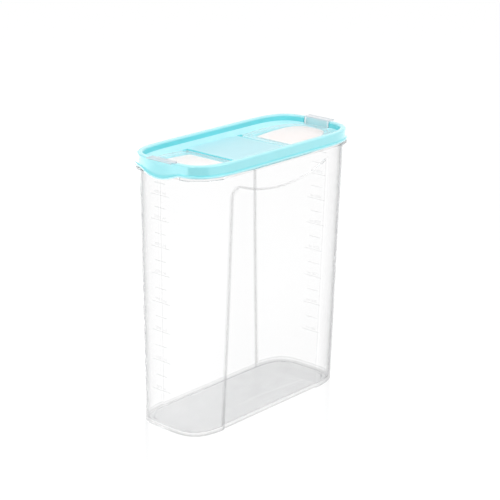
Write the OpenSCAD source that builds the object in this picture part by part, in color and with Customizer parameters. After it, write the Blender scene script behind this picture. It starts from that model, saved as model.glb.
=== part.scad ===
// Cereal container with a lift-off lid and two flip-up pour flaps.
// A clear moulded tub, a press-on lid with a dished deck, and one hinged flap over each pour opening.
// Origin: centre of the base, on the surface the tub stands on. +X long side, +Y short side, +Z up.
// The tub, the lid and the pair of flaps look the same after half a turn about Z.

/* [Tub] */
// Height of the tub to the top of its rim
tub_height = 266.6; // [180:0.1:320]
// Outer length of the tub at the rim
rim_length = 230; // [190:0.1:260]
// Outer width of the tub at the rim
rim_width = 97.8; // [84:0.1:120]
// How much shorter the base is than the rim, over the whole length
length_draft = 6; // [0:0.1:10]
// How much narrower the base is than the rim, over the whole width
width_draft = 10.2; // [0:0.1:14]
// Height of the neck under the rim, where the walls stand upright
neck_height = 31.6; // [20:0.1:50]
// Thickness of the tub's walls
wall = 1.3; // [1:0.05:2]
// Thickness of the tub's floor
floor_thickness = 1.8; // [1.2:0.1:3]
// Height of the foot rim that the tub stands on
foot_height = 1.0; // [0.6:0.1:2]
// Width of the foot rim
foot_width = 2.4; // [1.6:0.1:3.2]
// Inside radius where the floor meets the walls
floor_fillet = 4; // [2:0.5:8]
// Length of the rounded end of the outline at the rim
rim_cap = 69; // [50:1:80]
// Length of the rounded end of the outline at the base
base_cap = 64; // [45:1:80]
// Squareness of the rounded ends: 2 is an ellipse, higher is squarer
squareness = 3.8; // [2.4:0.1:5]

/* [Grip panels] */
// Depth of the grip panel below the tub's broad side
panel_depth = 2.8; // [1.5:0.1:4]
// Distance from the middle to the panel's long edge, at the panel's top
panel_long_top = 67.3; // [50:0.1:72]
// How far the long edge swings outward towards the base
panel_long_spread = 3.2; // [0:0.1:8]
// Distance from the middle to the panel's short edge
panel_short = 70; // [60:0.1:80]
// Distance from the rim down to the lowest point of the panel's curved top edge
panel_drop = 36.2; // [30:0.1:60]
// How far the curved top edge rises at its ends
panel_rise = 14; // [4:0.5:20]
// Radius of the panel's upper corner
panel_corner = 7; // [3:0.5:12]
// Widths of the sloped steps on the panel's long edge, top edge and short edge
panel_steps = [7.1, 2.0, 1.2];
// Half width of the hourglass step under the floor, at the middle
waist = 14.6; // [8:0.2:20]
// How much wider each side of the hourglass step gets towards its ends
waist_spread = 10.4; // [4:0.2:14]
// Depth of the hourglass step under the floor
waist_depth = 0.4; // [0.2:0.1:0.6]

/* [Rim] */
// How far the flange stands out from the tub's wall
flange_reach = 3.9; // [2.5:0.1:5]
// Thickness of the flange
flange_thickness = 2.6; // [1.5:0.1:4]
// How far the rim's sealing bead stands out from the wall
bead_reach = 0.6; // [0.4:0.1:1]

/* [Lid] */
// Height of the lid's skirt
skirt_height = 11.6; // [9:0.05:16]
// How far the skirt's foot stands out from the tub's wall
skirt_reach = 2.4; // [2.2:0.1:4]
// How far the bead along the skirt's foot stands out from the skirt
skirt_bead = 1.3; // [0.6:0.1:2]
// Height of that bead
skirt_bead_height = 2.2; // [1.4:0.1:3]
// How far the skirt's upper edge stands out from the tub's wall
crest_reach = 2.2; // [2:0.1:3.6]
// Thickness of the skirt
skirt_wall = 1.1; // [1:0.1:1.4]
// Thickness of the plug wall that goes inside the tub
plug_wall = 1.8; // [1.5:0.1:2.4]
// Gap between the plug wall and the tub
plug_gap = 0.2; // [0.1:0.05:0.5]
// Thickness of the crest above the tub's rim
crest_thickness = 3.2; // [2.8:0.05:5]
// Depth from the crest to the foot of the upright inner wall
wall_depth = 6; // [5:0.05:9]
// Depth from the crest to the bridge between the flaps
bridge_depth = 11.3; // [10.5:0.05:14]
// Thickness of the deck
deck_thickness = 1.6; // [1.2:0.1:2.2]
// How much the deck rises from each hinge to the end of the lid
dish_rise = 4.5; // [0:0.1:6]
// Gap between the deck's outline and the inner wall, along the sides
ledge_side = 5; // [3:0.1:7]
// Gap between the deck's outline and the inner wall, at the ends
ledge_end = 1.6; // [1:0.1:4]
// Length of the rounded ends of the deck's outline
deck_cap = 68; // [50:1:80]
// Squareness of the deck's rounded ends
deck_squareness = 2.8; // [2.2:0.1:4]
// Depth of the lip under each pour opening, and of the flap's rib inside it
lip_depth = 4; // [2:0.5:6]
// Thickness of the lip and the rib
rib_wall = 1.2; // [0.8:0.1:1.6]
// Distance from each hinge to the near edge of its pour opening
opening_near_margin = 14.5; // [8:0.5:20]
// Distance from the far edge of a pour opening to the end of the deck
opening_far_margin = 11.5; // [9:0.5:24]
// Distance from the sides of a pour opening to the sides of the deck
opening_side_margin = 15; // [10:0.5:26]
// Length of the rounded end of a pour opening's outline
opening_cap = 54; // [44:1:60]
// Squareness of a pour opening's rounded end
opening_squareness = 3.4; // [2.4:0.1:5]
// Clearance between pieces that touch at rest
seat_gap = 0.3; // [0.2:0.05:0.5]
// How far the thumb lug hangs below the skirt
lug_drop = 7.1; // [4:0.1:10]
// Width of the thumb lug at the skirt
lug_width = 41; // [30:1:50]

/* [Flaps] */
// Distance from the middle to each hinge axis
hinge_reach = 40; // [34:0.5:46]
// Radius of the hinge barrel
barrel_radius = 1.5; // [1.3:0.05:2]
// Radius of the hinge pins
pin_radius = 1.1; // [0.9:0.05:1.2]
// Length of each hinge pin
pin_length = 2.4; // [1.5:0.1:3]
// Radial clearance of the hinge pins in their sockets
pin_clearance = 0.08; // [0.02:0.01:0.1]
// Thickness of a flap's plate
flap_thickness = 1.6; // [1.2:0.1:2.4]
// Clearance around a flap's edge
flap_gap = 0.4; // [0.3:0.05:0.8]
// Width of the raised border around a flap's window
border = 7.5; // [5:0.5:12]
// Depth of the window below the border
window_depth = 0.6; // [0.2:0.1:0.8]
// Width of the upright end wall and thumb tab of a flap
tab_width = 30.6; // [20:0.2:36]
// Thickness of the upright end wall and thumb tab
tab_thickness = 1.4; // [1.2:0.1:1.6]
// How far the thumb tab reaches past the lid's crest
tab_overhang = 3.6; // [1:0.1:5]

/* [Hidden] */
$fn = 48;
eps = 0.01;
corner_steps = 13;
fillet_steps = 4;

lid_rest = tub_height + seat_gap;
crest = lid_rest + crest_thickness;
skirt_bottom = crest - skirt_height;
wall_foot = crest - wall_depth;
bridge_top = crest - bridge_depth;

flange_gap = 0.3;
flange_top = skirt_bottom - flange_gap;
flange_break = lug_width + 2;
bead_bottom = tub_height - 3;
neck_foot = tub_height - neck_height;
hook_clearance = 0.3;
hook_top = bead_bottom - 0.8;

plug_outer = -wall - plug_gap;
plug_inner = plug_outer - plug_wall;

deck_half_length = rim_length / 2 + plug_inner - ledge_end;
deck_half_width = rim_width / 2 + plug_inner - ledge_side;
opening_near = hinge_reach + opening_near_margin;
opening_far = deck_half_length - opening_far_margin;
opening_half_width = deck_half_width - opening_side_margin;

// Heights of the plate and the deck's seat are counted from the hinge axis
hinge_height = bridge_top - barrel_radius;
dish_angle = atan(dish_rise / (deck_half_length - hinge_reach));
plate_top = barrel_radius - 0.15;
plate_bottom = plate_top - flap_thickness;
seat_top = plate_bottom - seat_gap;
seat_bottom = seat_top - deck_thickness;

trough_near_gap = 0.7;
trough_far_gap = 1.1;
trough_floor = 1.4;
trough_near = hinge_reach - barrel_radius - trough_near_gap;
trough_far = hinge_reach + barrel_radius + trough_far_gap;
trough_top = hinge_height - barrel_radius - seat_gap;
trough_bottom = trough_top - trough_floor;

hinge_inset = 1.9;
boss_wall = 1.5;
socket_mouth = 0.8;
barrel_half = deck_half_width - hinge_inset;
socket_end = barrel_half + pin_length + seat_gap;
boss_start = barrel_half + seat_gap;
boss_end = socket_end + boss_wall;
boss_overlap = 0.4;

notch_gap = 1.8;
recess_skin = 0.6;
overlap = 0.2;
notch_half = tab_width / 2 + notch_gap;
notch_floor = lid_rest + skirt_wall;
end_sag = rim_cap * (1 - pow(1 - pow(2 * notch_half / rim_width, squareness), 1 / squareness));
recess_x = rim_length / 2 - end_sag + plug_outer - recess_skin;
tongue_root = deck_half_length - 8;
upright_outer = recess_x - flap_gap;
upright_inner = upright_outer - tab_thickness;
tab_bottom = notch_floor + seat_gap;
tab_top = tab_bottom + tab_thickness;
tab_tip = rim_length / 2 + crest_reach + tab_overhang;

// ---- Outlines -------------------------------------------------------------------------------

function mix(a, b, t) = a + (b - a) * t;

// One point of the rounded end, at angle t, moved outward by off along its normal
function cap_point(t, cap, half_width, p, off) =
    let (
        c = max(cos(t), 0),
        s = max(sin(t), 0),
        n = [pow(c, 2 - 2 / p) / cap, pow(s, 2 - 2 / p) / half_width]
    )
    [cap * pow(c, 2 / p), half_width * pow(s, 2 / p)] + off * n / norm(n);

// Closed outline, counter-clockwise seen from above: straight sides with superellipse ends
function outline(half_length, half_width, cap, p, off = 0) =
    let (
        n = corner_steps,
        q = [for (i = [0:n]) cap_point(90 * i / n, cap, half_width, p, off)],
        m = half_length - cap
    )
    concat(
        [for (i = [0:n]) [m + q[i][0], q[i][1]]],
        [for (i = [n:-1:0]) [-m - q[i][0], q[i][1]]],
        [for (i = [1:n]) [-m - q[i][0], -q[i][1]]],
        [for (i = [n:-1:1]) [m + q[i][0], -q[i][1]]]
    );

// Share of the draft that the walls have opened at height z: the neck stays at rim size
function drafted(z) = min(z / neck_foot, 1);
function half_length_at(z) = (rim_length - length_draft * (1 - drafted(z))) / 2;
function half_width_at(z) = (rim_width - width_draft * (1 - drafted(z))) / 2;

// The tub's outline at height z, moved outward by off
function tub_ring(z, off) =
    [for (e = outline(half_length_at(z), half_width_at(z), mix(base_cap, rim_cap, drafted(z)),
                      squareness, off)) [e[0], e[1], z]];

// The same outline at rim size, for everything on the lid that follows the rim
function rim_ring(z, off) =
    [for (e = outline(rim_length / 2, rim_width / 2, rim_cap, squareness, off)) [e[0], e[1], z]];

function deck_outline(off = 0) =
    outline(deck_half_length, deck_half_width, deck_cap, deck_squareness, off);

// Height of the deck's upper side under the flaps
function seat_height(x) = hinge_height + seat_top + max(0, abs(x) - hinge_reach) * tan(dish_angle);

// Rings joined into a solid: capped at both ends, or closed into a loop
module loft(rings, closed = false) {
    n = len(rings[0]);
    m = len(rings);
    spans = closed ? m : m - 1;
    sides = [for (i = [0:spans - 1], j = [0:n - 1])
        let (a = i * n, b = ((i + 1) % m) * n, k = (j + 1) % n)
        each [[a + j, b + j, b + k], [a + j, b + k, a + k]]];
    caps = closed ? [] : [[for (j = [0:n - 1]) j], [for (j = [n - 1:-1:0]) (m - 1) * n + j]];
    polyhedron(points = [for (r = rings) each r], faces = concat(sides, caps));
}

module both_ends() {
    children();
    rotate([0, 0, 180]) children();
}

// ---- Tub ------------------------------------------------------------------------------------

// Points of the grip panel's edge: [x, z, share of the long, top and short steps]
function panel_edge() =
    let (
        half = (panel_long_top + panel_short) / 2,
        middle = panel_short - half,
        radius = (half * half + panel_rise * panel_rise) / (2 * panel_rise),
        corner_x = -panel_long_top + panel_corner,
        top_edge = function (x)
            tub_height - panel_drop + radius - sqrt(radius * radius - (x - middle) * (x - middle)),
        corner_z = top_edge(corner_x) - panel_corner,
        below = -2
    )
    concat(
        [for (i = [0:5]) let (t = i / 5, z = mix(below, corner_z, t))
            [-panel_long_top - panel_long_spread * pow(1 - t, 2), z, 1, 0, 0]],
        [for (a = [160:-20:100])
            [corner_x + panel_corner * cos(a), corner_z + panel_corner * sin(a), -cos(a), sin(a), 0]],
        [for (i = [0:10]) let (x = mix(corner_x + 2, panel_short, i / 10))
            [x, top_edge(x), 0, 1, i == 10 ? 1 : 0]],
        [[panel_short, below, 0, 0, 1]]
    );

// The grip panel's hollow on the -Y side. skin moves it inward by the wall, for the cavity's side.
module panel_hollow(skin) {
    spread = [for (w = panel_steps) skin * tan(atan(panel_depth / w) / 2)];
    over = 1 + 1 / panel_depth;
    ring = function (depth, k)
        [for (e = panel_edge())
            let (
                x = e[0] - e[2] * (k * panel_steps[0] + spread[0]) + e[4] * (k * panel_steps[2] + spread[2]),
                z = e[1] + e[3] * (k * panel_steps[1] + spread[1])
            )
            [x, depth - half_width_at(z), z]];
    loft([ring(skin - 1, over), ring(panel_depth + skin, 0)]);
}

module tub_shell() {
    loft([
        tub_ring(0, -1.2),
        tub_ring(0.35, -0.45),
        tub_ring(1.3, 0),
        tub_ring(neck_foot, 0),
        tub_ring(bead_bottom, 0),
        tub_ring(bead_bottom + 0.7, bead_reach),
        tub_ring(bead_bottom + 1.9, bead_reach),
        tub_ring(tub_height, 0.3)
    ]);
}

module cavity() {
    floor_top = foot_height + floor_thickness;
    fillet = [for (i = [0:fillet_steps])
        let (a = 90 * i / fillet_steps)
        tub_ring(floor_top + floor_fillet * (1 - cos(a)), -wall - floor_fillet * (1 - sin(a)))];
    difference() {
        loft(concat(fillet, [tub_ring(neck_foot, -wall), tub_ring(tub_height + 1, -wall)]));
        both_ends() panel_hollow(wall);
    }
}

module foot_hollow() {
    inset = -panel_depth - foot_width;
    loft([tub_ring(-1, inset), tub_ring(foot_height, inset - 0.6)]);
    half = half_length_at(0) + inset - 6;
    translate([0, 0, foot_height - eps])
        linear_extrude(waist_depth + eps)
            polygon(concat(
                [for (i = [-8:8]) [half * i / 8, -waist - waist_spread * pow(i / 8, 2)]],
                [for (i = [8:-1:-8]) [half * i / 8, waist + waist_spread * pow(i / 8, 2)]]
            ));
}

module flange() {
    flange_bottom = flange_top - flange_thickness;
    edge = 0.5;
    root = -wall / 2;
    difference() {
        loft([
            tub_ring(flange_bottom - overlap, root),
            tub_ring(flange_bottom, flange_reach - edge),
            tub_ring(flange_bottom + edge, flange_reach),
            tub_ring(flange_top - edge, flange_reach),
            tub_ring(flange_top, flange_reach - edge),
            tub_ring(flange_top, root)
        ], closed = true);
        both_ends()
            translate([rim_length / 2 + 0.4, -flange_break / 2, flange_top - rim_width / 2])
                cube([rim_width / 2, flange_break, rim_width]);
    }
}

module container_body() {
    color([0.93, 0.95, 0.96, 0.35])
        union() {
            difference() {
                tub_shell();
                both_ends() panel_hollow(0);
                cavity();
                foot_hollow();
            }
            flange();
        }
}

// ---- Lid ------------------------------------------------------------------------------------

// The section that runs round the lid: skirt, crest, plug wall and the sloped ledge down to the deck
module lid_ring() {
    inner_top = crest_reach - skirt_wall + 0.3;
    inner_low = skirt_reach - skirt_wall;
    hook = bead_reach + hook_clearance;
    deck_edge = deck_outline();
    under_edge = deck_outline(-overlap);
    plug_low = rim_ring(0, plug_inner + 0.9);
    plug_side = rim_ring(0, plug_outer);
    loft([
        rim_ring(skirt_bottom, skirt_reach + skirt_bead - 0.4),
        rim_ring(skirt_bottom + 0.4, skirt_reach + skirt_bead),
        rim_ring(skirt_bottom + skirt_bead_height - 0.7, skirt_reach + skirt_bead - 0.2),
        rim_ring(skirt_bottom + skirt_bead_height, skirt_reach),
        rim_ring(crest - 1.4, crest_reach),
        rim_ring(crest - 0.4, crest_reach - 0.4),
        rim_ring(crest, crest_reach - 1.4),
        rim_ring(crest, plug_inner + 1.2),
        rim_ring(crest - 0.4, plug_inner + 0.4),
        rim_ring(crest - 1.2, plug_inner),
        rim_ring(wall_foot, plug_inner),
        [for (e = deck_edge) [e[0], e[1], seat_height(e[0])]],
        [for (e = under_edge) [e[0], e[1], seat_height(e[0]) - deck_thickness]],
        [for (e = plug_low) [e[0], e[1], seat_height(e[0]) - deck_thickness]],
        [for (e = plug_side) [e[0], e[1], seat_height(e[0]) - deck_thickness + 0.9]],
        rim_ring(lid_rest, plug_outer),
        rim_ring(lid_rest, inner_top),
        rim_ring(hook_top + 1, mix(inner_low, inner_top, 0.55)),
        rim_ring(hook_top, hook),
        rim_ring(hook_top - 0.6, hook),
        rim_ring(hook_top - 1.6, inner_low - 0.2),
        rim_ring(skirt_bottom, inner_low)
    ], closed = true);
}

// Everything inside is drawn flat, and tilted up from the hinge as the dished deck and the flap are
module on_dish() {
    translate([hinge_reach, 0, hinge_height])
        rotate([0, -dish_angle, 0])
            translate([-hinge_reach, 0, 0])
                children();
}

// A pour opening's outline, made larger or smaller by off
module opening_shape(off = 0) {
    intersection() {
        polygon(outline(opening_far, opening_half_width, opening_cap, opening_squareness, off));
        translate([opening_near - off, -rim_width / 2])
            square([rim_length / 2, rim_width]);
    }
}

module deck_half() {
    on_dish() {
        translate([0, 0, seat_bottom])
            linear_extrude(deck_thickness)
                difference() {
                    intersection() {
                        polygon(deck_outline(0.7));
                        translate([trough_far, -rim_width / 2])
                            square([rim_length / 2, rim_width]);
                    }
                    opening_shape();
                }
        translate([0, 0, seat_bottom - lip_depth])
            linear_extrude(lip_depth + overlap)
                difference() {
                    opening_shape(rib_wall);
                    opening_shape();
                }
    }
}

// The gutter that the hinge barrel lies in, with its upright walls
module trough() {
    deck_edge_height = hinge_height + seat_top;
    translate([trough_near - deck_thickness, -deck_half_width, trough_bottom])
        cube([trough_far - trough_near + 2 * deck_thickness, 2 * deck_half_width, trough_top - trough_bottom]);
    translate([trough_near - deck_thickness, -deck_half_width, trough_bottom])
        cube([deck_thickness, 2 * deck_half_width, bridge_top - trough_bottom]);
    translate([trough_far, -deck_half_width, trough_bottom])
        cube([deck_thickness, 2 * deck_half_width, deck_edge_height - trough_bottom]);
}

module bridge() {
    translate([0, 0, bridge_top - deck_thickness])
        linear_extrude(deck_thickness)
            intersection() {
                polygon(deck_outline(1.2));
                square([2 * trough_near, rim_width], center = true);
            }
}

// Bosses at both ends of the hinge line
module hinge_bosses() {
    for (side = [-1, 1])
        translate([trough_near - boss_overlap, side > 0 ? boss_start : -boss_end, trough_bottom])
            cube([
                trough_far - trough_near + 2 * boss_overlap,
                boss_end - boss_start,
                bridge_top - trough_bottom
            ]);
}

// The sockets that the pins snap into, open at the top
module hinge_sockets() {
    slot = 2 * pin_radius * socket_mouth;
    reach = socket_end - barrel_half;
    for (side = [-1, 1]) {
        translate([hinge_reach, side > 0 ? barrel_half : -barrel_half, hinge_height])
            rotate([-90 * side, 0, 0])
                cylinder(r = pin_radius + pin_clearance, h = reach);
        translate([hinge_reach - slot / 2, side > 0 ? barrel_half : -barrel_half - reach, hinge_height])
            cube([slot, reach, bridge_depth]);
    }
}

// Room for the flap's upright wall and thumb tab in the inner wall and the crest
module tab_notch() {
    intersection() {
        on_dish()
            translate([tongue_root, -notch_half, seat_top])
                cube([rim_width, 2 * notch_half, rim_width]);
        translate([0, -notch_half, bridge_top])
            cube([recess_x, 2 * notch_half, rim_width]);
    }
    crest_notch_half = notch_half + overlap;
    translate([deck_half_length, -crest_notch_half, notch_floor])
        cube([rim_width, 2 * crest_notch_half, crest_thickness]);
}

// Thumb lug: a tongue that leans out from the skirt to the bead's reach and hangs below it
module thumb_lug() {
    low = skirt_bottom - lug_drop;
    high = lid_rest - 1;
    face = skirt_reach + skirt_bead + 0.1;
    back = face - skirt_wall - 0.3;
    intersection() {
        loft([
            rim_ring(low - 1, back),
            rim_ring(low - 1, face),
            rim_ring(skirt_bottom + skirt_bead_height, face),
            rim_ring(high, skirt_reach),
            rim_ring(high, crest_reach - skirt_wall + 0.6),
            rim_ring(skirt_bottom + 0.4, crest_reach - skirt_wall + 0.6),
            rim_ring(skirt_bottom - 0.4, back)
        ], closed = true);
        translate([rim_length / 2 - 4, 0, 0])
            rotate([90, 0, 90])
                linear_extrude(20)
                    polygon(concat(
                        [for (i = [-10:10]) [lug_width / 2 * i / 10, low + lug_drop * pow(i / 10, 2)]],
                        [[lug_width / 2 - 4, high - 0.5], [4 - lug_width / 2, high - 0.5]]
                    ));
    }
}

module lid() {
    color([0.50, 0.89, 0.91])
        difference() {
            union() {
                lid_ring();
                bridge();
                both_ends() {
                    deck_half();
                    trough();
                    hinge_bosses();
                    thumb_lug();
                }
            }
            both_ends() {
                hinge_sockets();
                tab_notch();
            }
        }
}

// ---- Flaps ----------------------------------------------------------------------------------

// A flap's plate in plan: the deck's outline less the hinge bosses, with a tongue at the end
module plate_shape() {
    // Twice the gap, so that the plate's corner clears the boss as it turns
    notch_x = trough_far + boss_overlap + 2 * seat_gap;
    difference() {
        intersection() {
            polygon(deck_outline(-flap_gap));
            translate([hinge_reach, -rim_width / 2])
                square([rim_length / 2, rim_width]);
        }
        for (side = [-1, 1])
            translate([0, side > 0 ? barrel_half - overlap : overlap - barrel_half - rim_width])
                square([notch_x, rim_width]);
    }
    translate([tongue_root, overlap - tab_width / 2])
        square([upright_outer - overlap - tongue_root, tab_width - 2 * overlap]);
}

module flap_plate() {
    on_dish() {
        translate([0, 0, plate_bottom])
            linear_extrude(flap_thickness)
                plate_shape();
        translate([0, 0, plate_bottom - lip_depth])
            linear_extrude(lip_depth + overlap)
                difference() {
                    opening_shape(-flap_gap);
                    opening_shape(-flap_gap - rib_wall);
                }
    }
}

// The window's hollow in the top of the plate, inside the border
module flap_window() {
    on_dish()
        translate([0, 0, plate_top - window_depth])
            linear_extrude(flap_thickness)
                intersection() {
                    polygon(deck_outline(-flap_gap - border));
                    translate([hinge_reach + border, -rim_width / 2])
                        square([rim_length / 2, rim_width]);
                }
}

// Upright wall and thumb tab, as one profile across the flap's end. Its foot is inside the plate.
module flap_end() {
    foot = function (x) hinge_height + (plate_top + plate_bottom) / 2 + (x - hinge_reach) * tan(dish_angle);
    translate([0, tab_width / 2, 0])
        rotate([90, 0, 0])
            linear_extrude(tab_width)
                polygon([
                    [upright_inner, foot(upright_inner)],
                    [upright_outer, foot(upright_outer)],
                    [upright_outer, tab_bottom],
                    [tab_tip - 0.5, tab_bottom],
                    [tab_tip, tab_bottom + 0.5],
                    [tab_tip - 0.3, tab_top - 0.3],
                    [tab_tip - 1, tab_top],
                    [upright_inner + 0.8, tab_top],
                    [upright_inner, tab_top - 0.8]
                ]);
}

module hinge_barrel() {
    translate([hinge_reach, 0, hinge_height])
        rotate([90, 0, 0]) {
            cylinder(r = barrel_radius, h = 2 * barrel_half, center = true);
            cylinder(r = pin_radius, h = 2 * (barrel_half + pin_length), center = true);
        }
}

module flap() {
    color([0.90, 0.90, 0.93, 0.55])
        union() {
            difference() {
                flap_plate();
                flap_window();
            }
            flap_end();
            hinge_barrel();
        }
}

module flap_left() {
    rotate([0, 0, 180]) flap();
}

module flap_right() {
    flap();
}

container_body();
lid();
flap_left();
flap_right();
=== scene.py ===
# %% [markdown]
# # A cereal container with two flip-up flaps
# A clear moulded tub carries a turquoise lid, and the lid carries a milky flap over a pour
# opening at each end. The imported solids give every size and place, so each piece here is a finer
# surface laid over its solid, in the same frame.

# %% Load the frame
import math

import bpy
import numpy as np
from mathutils import Euler, Matrix


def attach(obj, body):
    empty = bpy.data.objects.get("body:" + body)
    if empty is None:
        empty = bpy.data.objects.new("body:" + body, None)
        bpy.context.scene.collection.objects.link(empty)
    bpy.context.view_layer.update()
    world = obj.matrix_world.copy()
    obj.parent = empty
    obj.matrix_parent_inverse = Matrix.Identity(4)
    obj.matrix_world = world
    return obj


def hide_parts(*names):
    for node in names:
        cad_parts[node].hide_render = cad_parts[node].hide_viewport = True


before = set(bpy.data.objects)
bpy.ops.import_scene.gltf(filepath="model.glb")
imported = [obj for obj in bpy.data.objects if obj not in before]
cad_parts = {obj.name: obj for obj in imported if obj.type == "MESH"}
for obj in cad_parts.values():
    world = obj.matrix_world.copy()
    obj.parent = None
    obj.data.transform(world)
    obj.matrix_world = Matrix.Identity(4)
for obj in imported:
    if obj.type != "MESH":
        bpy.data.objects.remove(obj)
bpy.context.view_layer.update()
MM = 0.001

# %% [markdown]
# ## Camera, floor and light
# A clear tub on white is lit by its surroundings: everything around it is white, so only its
# edges show. Cards could stand round it, but the sky and the floor can play that part in glossy
# reflections alone. So the sky has one darker gap in front, which gives the lid its deep corner
# band, and the floor mirrors as a bright card on either side. To the eye, and through clear
# plastic, both stay plain white.

# %% Camera
def add_object(name, data):
    """A new object in the scene, with this data."""
    made = bpy.data.objects.new(name, data)
    bpy.context.collection.objects.link(made)
    return made


BEARING, PITCH, ROLL = 49.55, 18.04, 1.014
camera_data = bpy.data.cameras.new("camera")
camera_data.lens = 117.5
camera_data.sensor_width = 36
camera_data.clip_end = 20
camera = add_object("camera", camera_data)
camera.location = (-1.16275, -1.00055, 0.65617)
looking = Euler((math.radians(90 - PITCH), 0, math.radians(-BEARING))).to_matrix()
camera.rotation_euler = (looking @ Matrix.Rotation(math.radians(ROLL), 3, "Z")).to_euler()
bpy.context.scene.camera = camera
bpy.context.scene.view_settings.view_transform = "Standard"
# A sight line through the tub and its marks crosses many clear skins.
bpy.context.scene.cycles.transparent_max_bounces = 32
bpy.context.scene.cycles.max_bounces = 12
print("camera stands off, m:", round(camera.location.length, 3))


# %% Node helpers
def new_material(name):
    """An empty node material and its output node."""
    material = bpy.data.materials.new(name)
    material.use_nodes = True
    tree = material.node_tree
    tree.nodes.clear()
    print("material:", name)
    return material, tree, node(tree, "OutputMaterial")


def node(tree, kind, inputs=None, **settings):
    """A shader node of a kind, with its settings and inputs: a socket is linked, a value is set."""
    made = tree.nodes.new("ShaderNode" + kind)
    for key, value in settings.items():
        setattr(made, key, value)
    for key, value in (inputs or {}).items():
        if isinstance(value, bpy.types.NodeSocket):
            tree.links.new(value, made.inputs[key])
        else:
            made.inputs[key].default_value = value
    return made


def calc(tree, operation, a, b=0.0, c=0.0, clamp=False):
    """The output of one Math node."""
    made = node(tree, "Math", {0: a, 1: b, 2: c}, operation=operation, use_clamp=clamp)
    return made.outputs[0]


def scaled(tree, value, by, plus, clamp=False):
    """value * by + plus."""
    return calc(tree, "MULTIPLY_ADD", value, by, plus, clamp)


def point_value(tree, name):
    """The number that a piece's points carry under a name."""
    return node(tree, "Attribute", attribute_name=name).outputs["Fac"]


def ramp(tree, factor, stops):
    """A colour ramp over factor. stops are (position, grey) pairs."""
    made = node(tree, "ValToRGB", {"Fac": factor})
    elements = made.color_ramp.elements
    while len(elements) < len(stops):
        elements.new(0.5)
    for element, (position, grey) in zip(elements, stops):
        element.position = position
        element.color = (grey, grey, grey, 1)
    return made.outputs["Color"]


# %% Where a ray goes
def front_angle(tree, direction):
    """The turn of direction about the upright axis, in radians: 0 towards the camera's bearing,
    positive to its right and negative to its left. atan2(x, -y) after a turn by the bearing."""
    turned = node(tree, "Mapping", {"Vector": direction,
                                              "Rotation": (0, 0, math.radians(BEARING))})
    axes = node(tree, "SeparateXYZ", {"Vector": turned.outputs["Vector"]})
    nearer = calc(tree, "MULTIPLY", axes.outputs["Y"], -1.0)
    return calc(tree, "ARCTAN2", axes.outputs["X"], nearer)


def half_turns(tree, angle):
    """The size of an angle, as a share of half a turn."""
    return calc(tree, "ABSOLUTE", calc(tree, "DIVIDE", angle, math.pi))


def seen_plainly(tree, rays):
    """1 for sight, straight or through clear plastic, and 0 for light and reflections."""
    return calc(tree, "MAXIMUM", rays.outputs["Is Camera Ray"], rays.outputs["Is Transmission Ray"])


# %% White surroundings
WHITE = (1, 1, 1, 1)
SKY_LIGHT, SKY_GLOSS = 0.62, 1.4
SKY_GAP = [(0.0, 0.1), (0.16, 0.1), (0.20, 1.0)]
world = bpy.data.worlds.new("white_studio")
world.use_nodes = True
bpy.context.scene.world = world
air = world.node_tree
air.nodes.clear()
rays = node(air, "LightPath")
direction = node(air, "TexCoord").outputs["Generated"]
gap = ramp(air, half_turns(air, front_angle(air, direction)), SKY_GAP)
mirrored = node(air, "Mix", {"Factor": rays.outputs["Is Glossy Ray"], "A": SKY_LIGHT,
                                       "B": calc(air, "MULTIPLY", gap, SKY_GLOSS)})
shown = node(air, "Mix", {"Factor": seen_plainly(air, rays), "A": mirrored.outputs[0], "B": 1.0})
backdrop = node(air, "Background", {"Color": WHITE, "Strength": shown.outputs[0]})
air.links.new(backdrop.outputs[0], node(air, "OutputWorld").inputs["Surface"])
print("surroundings:", len(air.nodes), "nodes")


# %% Soft boxes
def soft_box(name, place, target, size, power):
    """A round area lamp at place, turned to target, in metres and watts."""
    data = bpy.data.lights.new(name, "AREA")
    data.shape = "DISK"
    data.size = size
    data.energy = power
    lamp = add_object(name, data)
    back = np.array(place, float) - np.array(target, float)
    lamp.location = place
    lamp.rotation_euler = (math.acos(back[2] / np.linalg.norm(back)), 0,
                           math.atan2(back[1], back[0]) + math.pi / 2)
    print(name, "watts:", power)


soft_box("top_left_box", (-1.1, -0.2, 1.5), (0, 0, 0.2), 0.9, 12)
soft_box("right_box", (0.5, -1.3, 1.0), (0, 0, 0.15), 0.9, 7)

# %% Floor
# Light meets a dull grey floor and gloss meets the two cards. Sight meets a glow with some shade
# left in it, which keeps the object's shadow, under a thin sheen.
LEFT_GLOSS, RIGHT_GLOSS = 5.0, 2.1
FLOOR_GAP = [(0.0, 0.02), (0.20, 0.02), (0.225, 1.0)]
FLOOR_GLOW, FLOOR_SHADE, FLOOR_SHEEN = 0.84, 0.16, 0.12
floor_mesh = bpy.data.meshes.new("floor")
floor_mesh.from_pydata([(-6, -6, 0), (6, -6, 0), (6, 6, 0), (-6, 6, 0)], [], [(0, 1, 2, 3)])
floor = add_object("floor", floor_mesh)
white_floor, tree, out = new_material("white_floor")
rays = node(tree, "LightPath")
sideways = front_angle(tree, node(tree, "TexCoord").outputs["Object"])
cards = ramp(tree, half_turns(tree, sideways), FLOOR_GAP)
is_right = calc(tree, "GREATER_THAN", sideways, 0.0)
strength = scaled(tree, is_right, RIGHT_GLOSS - LEFT_GLOSS, LEFT_GLOSS)
strength = calc(tree, "MULTIPLY", cards, strength)
card = node(tree, "Emission", {"Color": WHITE, "Strength": strength})
dull = node(tree, "BsdfDiffuse", {"Color": (0.75, 0.75, 0.75, 1)})
plain = node(tree, "MixShader", {"Fac": rays.outputs["Is Glossy Ray"],
                                           1: dull.outputs[0], 2: card.outputs[0]})
glow = node(tree, "Emission", {"Color": WHITE, "Strength": FLOOR_GLOW})
shade = node(tree, "BsdfDiffuse", {"Color": (FLOOR_SHADE, FLOOR_SHADE, FLOOR_SHADE, 1)})
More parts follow.
